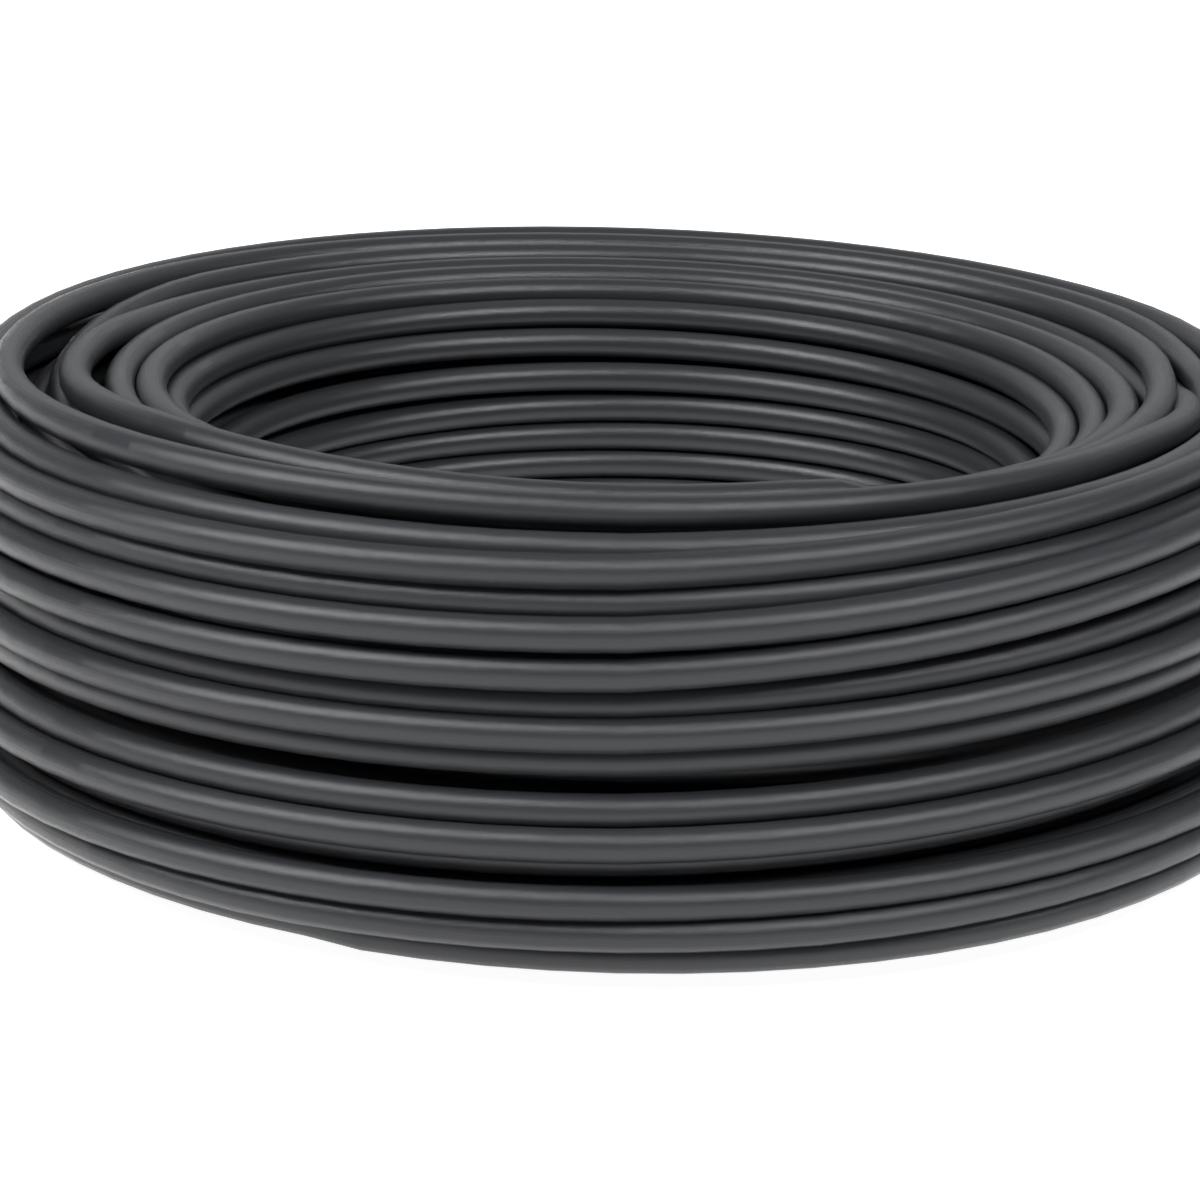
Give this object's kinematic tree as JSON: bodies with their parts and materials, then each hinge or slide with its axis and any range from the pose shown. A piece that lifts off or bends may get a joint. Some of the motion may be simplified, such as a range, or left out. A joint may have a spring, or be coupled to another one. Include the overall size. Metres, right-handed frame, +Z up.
{
  "type": "network cable coil",
  "caption": "Length of round network cable wound by hand into a loose ring that lies flat, with an open bore and no reel, core or tie.",
  "frame": {"origin": "on the coil's axis, at the surface it lies on", "axes": "+Z up along the coil's axis; X and Y lie across it, and -Y faces the camera"},
  "size_m": [0.213, 0.213, 0.065],
  "materials": {
    "cable_jacket": "charcoal PVC jacket, satin, drawn smooth with fine streaks along the cable"
  },
  "bodies": {
    "root": {"cable_coil": "cable_jacket"}
  },
  "joints": []
}
